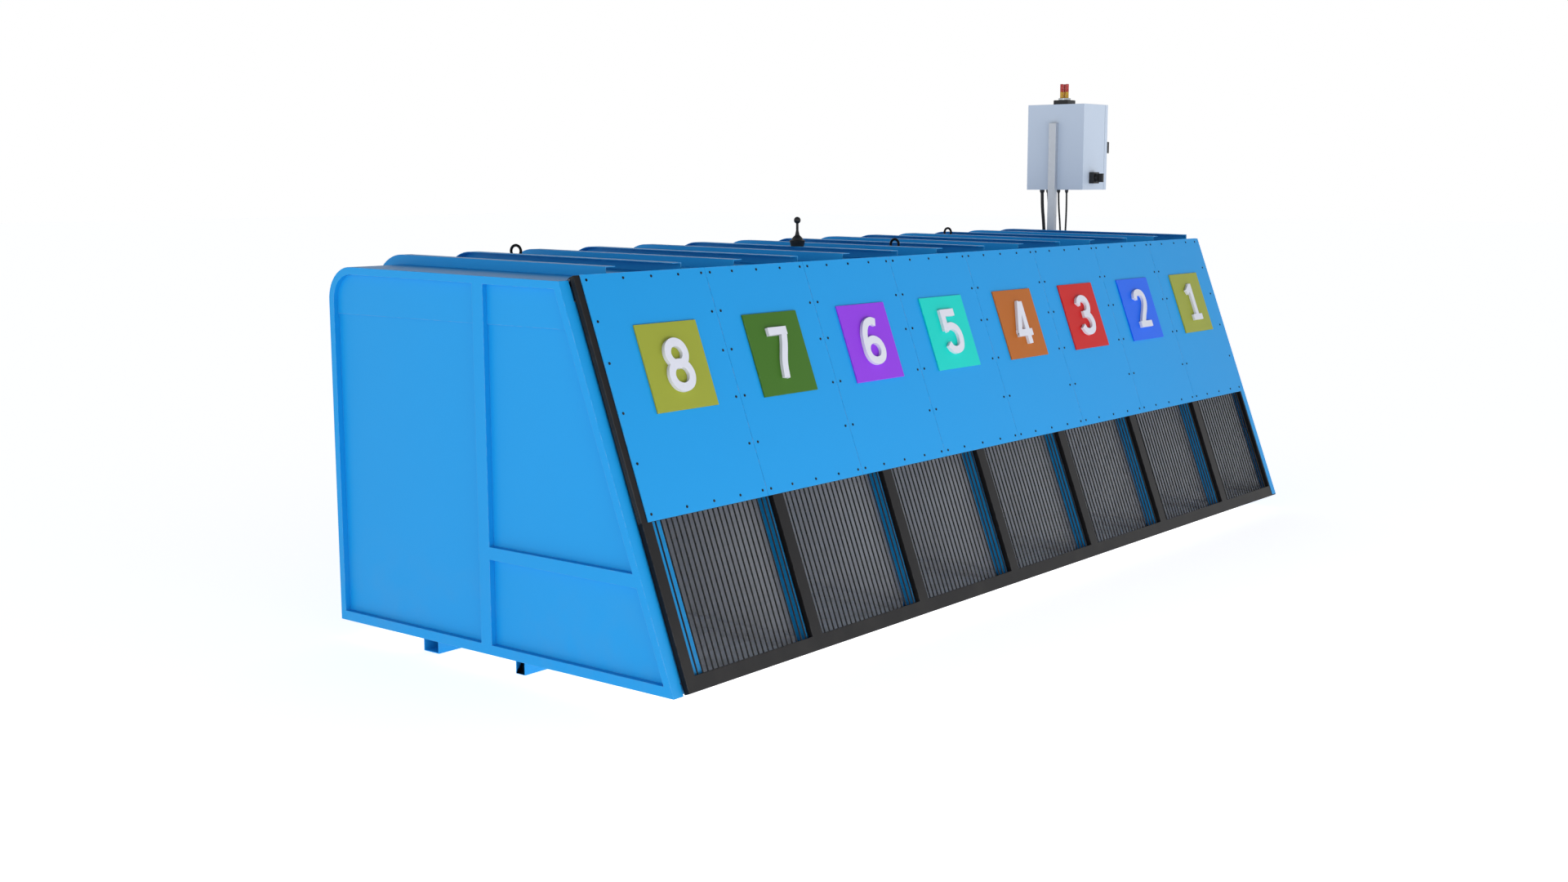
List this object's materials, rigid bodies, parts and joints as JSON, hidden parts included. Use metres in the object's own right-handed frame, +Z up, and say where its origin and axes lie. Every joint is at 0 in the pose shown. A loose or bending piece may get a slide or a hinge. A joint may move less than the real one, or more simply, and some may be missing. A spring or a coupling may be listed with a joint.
{
  "type": "greyhound starting box",
  "caption": "Long blue racing-dog starting box with a leaning barred front gate, numbered plates, ribbed roof, rear doors and a raised control box.",
  "frame": {"origin": "centre of the overall footprint, on the ground under the skids", "axes": "+X along the box towards the control box, -Y out of the traps' front, +Z up"},
  "size_m": [4.401, 1.5556, 1.987],
  "materials": {
    "black_hardware": "black coated steel",
    "black_plastic": "moulded black plastic",
    "blue_paint": "satin powder coat",
    "cable_sheath": "black cable sheath",
    "charcoal_paint": "satin powder coat",
    "control_paint": "pale blue-grey powder coat",
    "floor_sheet": "grey film-faced plywood",
    "galvanised": "galvanised steel",
    "grey_sheet": "matt grey paint",
    "number_paint": "off-white enamel",
    "plate_paint": "semi-gloss enamel, one colour per trap",
    "red_lens": "translucent red lens",
    "yellow_lens": "translucent yellow lens",
    "zinc_steel": "zinc plated steel"
  },
  "bodies": {
    "box": {"front_skid": "blue_paint", "rear_skid": "blue_paint", "floor_sills": "blue_paint", "floor_panel": "floor_sheet", "left_end_frame": "blue_paint", "left_end_sheets": "blue_paint", "right_end_frame": "blue_paint", "right_end_sheets": "blue_paint", "left_filler_plate": "blue_paint", "roof_headers": "blue_paint", "divider_frames": "blue_paint", "divider_sheets": "grey_sheet", "roof_panel": "blue_paint", "roof_ribs": "blue_paint", "header_hinge_knuckles": "black_hardware", "gate_hinge_pins": "zinc_steel", "gate_magnets": "black_plastic", "door_hinge_pins": "zinc_steel", "post_hinge_knuckles": "black_hardware", "bolt_keepers": "black_hardware", "mast": "galvanised", "control_box": "control_paint", "control_hinges": "black_hardware", "control_hinge_pins": "zinc_steel", "switch_base": "black_plastic", "light_base": "black_plastic", "light_foot": "zinc_steel", "yellow_lights": "yellow_lens", "red_lights": "red_lens", "main_cable": "cable_sheath", "small_cables": "cable_sheath", "cable_glands": "black_plastic", "cable_grommets": "cable_sheath", "antenna": "black_plastic", "lifting_eyes": "black_hardware"},
    "gate": {"gate_frame": "charcoal_paint", "gate_bars": "charcoal_paint", "gate_panels": "blue_paint", "panel_screws": "black_hardware", "number_plates": "plate_paint", "plate_numbers": "number_paint", "gate_hinge_knuckles": "black_hardware", "gate_keepers": "zinc_steel"},
    "rear_door_1": {"rear_door_1": "blue_paint"},
    "rear_door_2": {"rear_door_2": "blue_paint"},
    "rear_door_3": {"rear_door_3": "blue_paint"},
    "rear_door_4": {"rear_door_4": "blue_paint"},
    "rear_door_5": {"rear_door_5": "blue_paint"},
    "rear_door_6": {"rear_door_6": "blue_paint"},
    "rear_door_7": {"rear_door_7": "blue_paint"},
    "door_bolt_1": {"door_bolt_1": "zinc_steel"},
    "door_bolt_2": {"door_bolt_2": "zinc_steel"},
    "door_bolt_3": {"door_bolt_3": "zinc_steel"},
    "door_bolt_4": {"door_bolt_4": "zinc_steel"},
    "door_bolt_5": {"door_bolt_5": "zinc_steel"},
    "door_bolt_6": {"door_bolt_6": "zinc_steel"},
    "door_bolt_7": {"door_bolt_7": "zinc_steel"},
    "control_door": {"control_door": "control_paint"},
    "control_lock": {"control_lock": "black_plastic"},
    "switch_knob": {"switch_knob": "black_plastic"}
  },
  "joints": [
    {"name": "gate_swing", "type": "hinge", "parent": "box", "child": "gate", "pos_m": [-0.1145, -0.31963, 1.22864], "axis": [-1, 0, 0], "range_deg": [0, 70]},
    {"name": "rear_door_1_swing", "type": "hinge", "parent": "box", "child": "rear_door_1", "pos_m": [-2.1055, 0.74678, 0.624], "axis": [0, 0, 1], "range_deg": [0, 100]},
    {"name": "door_bolt_1_slide", "type": "slide", "parent": "rear_door_1", "child": "door_bolt_1", "axis": [1, 0, 0], "range_m": [0, 0.03]},
    {"name": "rear_door_2_swing", "type": "hinge", "parent": "box", "child": "rear_door_2", "pos_m": [-1.5075, 0.74678, 0.624], "axis": [0, 0, 1], "range_deg": [0, 100]},
    {"name": "door_bolt_2_slide", "type": "slide", "parent": "rear_door_2", "child": "door_bolt_2", "axis": [1, 0, 0], "range_m": [0, 0.03]},
    {"name": "rear_door_3_swing", "type": "hinge", "parent": "box", "child": "rear_door_3", "pos_m": [-0.9185, 0.74678, 0.624], "axis": [0, 0, 1], "range_deg": [0, 100]},
    {"name": "door_bolt_3_slide", "type": "slide", "parent": "rear_door_3", "child": "door_bolt_3", "axis": [1, 0, 0], "range_m": [0, 0.03]},
    {"name": "rear_door_4_swing", "type": "hinge", "parent": "box", "child": "rear_door_4", "pos_m": [-0.3295, 0.74678, 0.624], "axis": [0, 0, 1], "range_deg": [0, 100]},
    {"name": "door_bolt_4_slide", "type": "slide", "parent": "rear_door_4", "child": "door_bolt_4", "axis": [1, 0, 0], "range_m": [0, 0.03]},
    {"name": "rear_door_5_swing", "type": "hinge", "parent": "box", "child": "rear_door_5", "pos_m": [0.2595, 0.74678, 0.624], "axis": [0, 0, 1], "range_deg": [0, 100]},
    {"name": "door_bolt_5_slide", "type": "slide", "parent": "rear_door_5", "child": "door_bolt_5", "axis": [1, 0, 0], "range_m": [0, 0.03]},
    {"name": "rear_door_6_swing", "type": "hinge", "parent": "box", "child": "rear_door_6", "pos_m": [0.8485, 0.74678, 0.624], "axis": [0, 0, 1], "range_deg": [0, 100]},
    {"name": "door_bolt_6_slide", "type": "slide", "parent": "rear_door_6", "child": "door_bolt_6", "axis": [1, 0, 0], "range_m": [0, 0.03]},
    {"name": "rear_door_7_swing", "type": "hinge", "parent": "box", "child": "rear_door_7", "pos_m": [1.4375, 0.74678, 0.624], "axis": [0, 0, 1], "range_deg": [0, 100]},
    {"name": "door_bolt_7_slide", "type": "slide", "parent": "rear_door_7", "child": "door_bolt_7", "axis": [1, 0, 0], "range_m": [0, 0.03]},
    {"name": "control_door_swing", "type": "hinge", "parent": "box", "child": "control_door", "pos_m": [2.1455, 0.58828, 1.6765], "axis": [0, 0, 1], "range_deg": [0, 120]},
    {"name": "control_lock_turn", "type": "hinge", "parent": "control_door", "child": "control_lock", "pos_m": [2.1585, 0.28728, 1.6765], "axis": [1, 0, 0], "range_deg": [0, 90]},
    {"name": "main_switch_turn", "type": "hinge", "parent": "box", "child": "switch_knob", "pos_m": [2.0105, 0.24128, 1.527], "axis": [0, -1, 0], "range_deg": [0, 90]}
  ]
}
